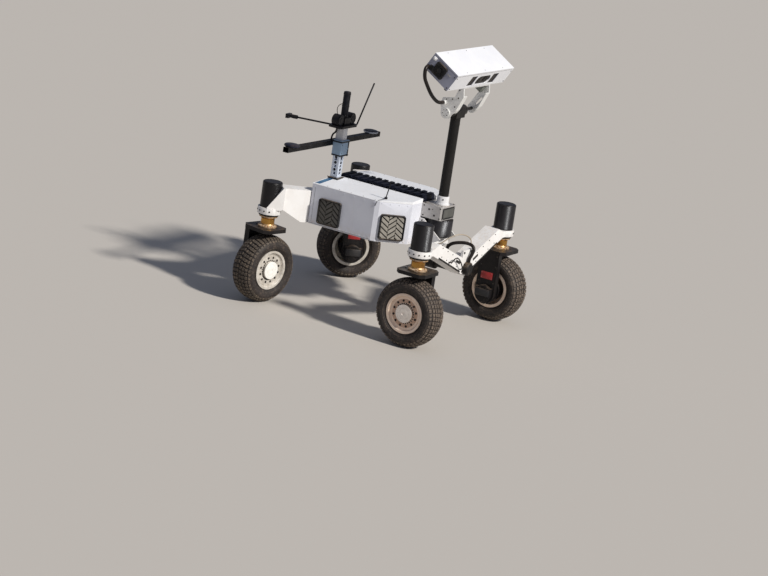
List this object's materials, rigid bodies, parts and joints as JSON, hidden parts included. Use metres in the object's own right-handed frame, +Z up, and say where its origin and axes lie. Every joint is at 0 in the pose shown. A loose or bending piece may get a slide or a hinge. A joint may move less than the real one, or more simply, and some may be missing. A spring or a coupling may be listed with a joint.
{
  "type": "planetary rover prototype",
  "caption": "Wheeled rover test vehicle: faceted white hull, steered drive wheels under motor columns, a V shaped front beam, antenna post and a tilting camera head on a mast.",
  "frame": {"origin": "on the ground, at the middle of the rover's box seen from above; the hull's middle plane lies 9 mm to the left of it, because the rear wheels are steered at rest", "axes": "+X forwards, +Y to the rover's left, +Z up along the mast"},
  "size_m": [1.3468, 1.2933, 1.5687],
  "materials": {
    "black_anodised": "black anodised",
    "black_plastic": "moulded",
    "black_satin": "satin black anodised",
    "bronze_spool": "bronze gear housing",
    "cable_black": "cable sheath",
    "cable_pale": "pale cable sheath",
    "dark_puck": "moulded",
    "dark_ring": "dark anodised, dusty",
    "dusty_rim": "cast and machined, dusty",
    "filter_mesh": "dusty filter cloth",
    "grey_case": "grey painted case",
    "lens_glass": "dark glass front",
    "silver": "bare aluminium",
    "tyre_rubber": "dusty rubber",
    "white_arm": "satin white paint, dusty and chipped",
    "white_head": "satin white paint",
    "white_panel": "satin white powder coat",
    "white_roof": "satin white powder coat, dusty"
  },
  "bodies": {
    "chassis": {"antenna_bar": "black_anodised", "antenna_box": "grey_case", "antenna_foot": "black_plastic", "antenna_post": "silver", "bar_pucks": "dark_puck", "beam_cable": "cable_pale", "beam_hose": "cable_black", "beam_loop": "cable_black", "beam_pivot": "dark_ring", "front_beam": "white_arm", "heat_sinks": "black_anodised", "hub_wire": "cable_black", "hull_shell": "white_panel", "mast_gearbox": "grey_case", "mast_motor": "black_satin", "nose_frame": "white_arm", "pivot_housing": "black_satin", "post_cable": "cable_black", "radio_hub": "black_plastic", "radio_rods": "black_plastic", "rear_arm_left": "white_arm", "rear_arm_right": "white_arm", "roof_left": "white_roof", "roof_right": "white_roof", "steer_bearings": "dark_ring", "steer_motors": "black_satin", "vent_filters": "filter_mesh", "vent_frames": "black_plastic"},
    "mast": {"mast_collar": "silver", "mast_tube": "black_satin", "tilt_bracket": "silver"},
    "head": {"head_arms": "white_arm", "head_cable": "cable_black", "head_case": "white_head", "head_fan": "black_plastic", "head_windows": "lens_glass"},
    "steer_front_right": {"drive_leg_front_right": "black_satin", "drive_motor_front_right": "black_satin", "hub_drive_front_right": "black_satin", "steer_spool_front_right": "bronze_spool"},
    "wheel_front_right": {"rim_front_right": "dusty_rim", "tyre_front_right": "tyre_rubber"},
    "steer_front_left": {"drive_leg_front_left": "black_satin", "drive_motor_front_left": "black_satin", "hub_drive_front_left": "black_satin", "steer_spool_front_left": "bronze_spool"},
    "wheel_front_left": {"rim_front_left": "dusty_rim", "tyre_front_left": "tyre_rubber"},
    "steer_rear_right": {"drive_leg_rear_right": "black_satin", "drive_motor_rear_right": "black_satin", "hub_drive_rear_right": "black_satin", "steer_spool_rear_right": "bronze_spool"},
    "wheel_rear_right": {"rim_rear_right": "dusty_rim", "tyre_rear_right": "tyre_rubber"},
    "steer_rear_left": {"drive_leg_rear_left": "black_satin", "drive_motor_rear_left": "black_satin", "hub_drive_rear_left": "black_satin", "steer_spool_rear_left": "bronze_spool"},
    "wheel_rear_left": {"rim_rear_left": "dusty_rim", "tyre_rear_left": "tyre_rubber"}
  },
  "joints": [
    {"name": "mast_pan", "type": "hinge", "parent": "chassis", "child": "mast", "pos_m": [0.324, 0.009, 0.695], "axis": [0, 0, 1], "range_deg": [-170, 170]},
    {"name": "head_tilt", "type": "hinge", "parent": "mast", "child": "head", "pos_m": [0.324, 0.009, 1.226], "axis": [0, 1, 0], "range_deg": [-60, 45]},
    {"name": "steer_front_right", "type": "hinge", "parent": "chassis", "child": "steer_front_right", "pos_m": [0.484, -0.456, 0.424], "axis": [0, 0, 1], "range_deg": [-100, 100]},
    {"name": "roll_front_right", "type": "hinge", "parent": "steer_front_right", "child": "wheel_front_right", "pos_m": [0.484, -0.468, 0.19], "axis": [0, -1, 0], "continuous": true},
    {"name": "steer_front_left", "type": "hinge", "parent": "chassis", "child": "steer_front_left", "pos_m": [0.484, 0.474, 0.424], "axis": [0, 0, 1], "range_deg": [-100, 100]},
    {"name": "roll_front_left", "type": "hinge", "parent": "steer_front_left", "child": "wheel_front_left", "pos_m": [0.484, 0.486, 0.19], "axis": [0, 1, 0], "continuous": true},
    {"name": "steer_rear_right", "type": "hinge", "parent": "chassis", "child": "steer_rear_right", "pos_m": [-0.496, -0.456, 0.424], "axis": [0, 0, 1], "range_deg": [-178, 22]},
    {"name": "roll_rear_right", "type": "hinge", "parent": "steer_rear_right", "child": "wheel_rear_right", "pos_m": [-0.48426, -0.45849, 0.19], "axis": [0.9781, -0.2079, 0], "continuous": true},
    {"name": "steer_rear_left", "type": "hinge", "parent": "chassis", "child": "steer_rear_left", "pos_m": [-0.496, 0.474, 0.424], "axis": [0, 0, 1], "range_deg": [-143, 57]},
    {"name": "roll_rear_left", "type": "hinge", "parent": "steer_rear_left", "child": "wheel_rear_left", "pos_m": [-0.50418, 0.48278, 0.19], "axis": [-0.682, 0.7314, 0], "continuous": true}
  ]
}
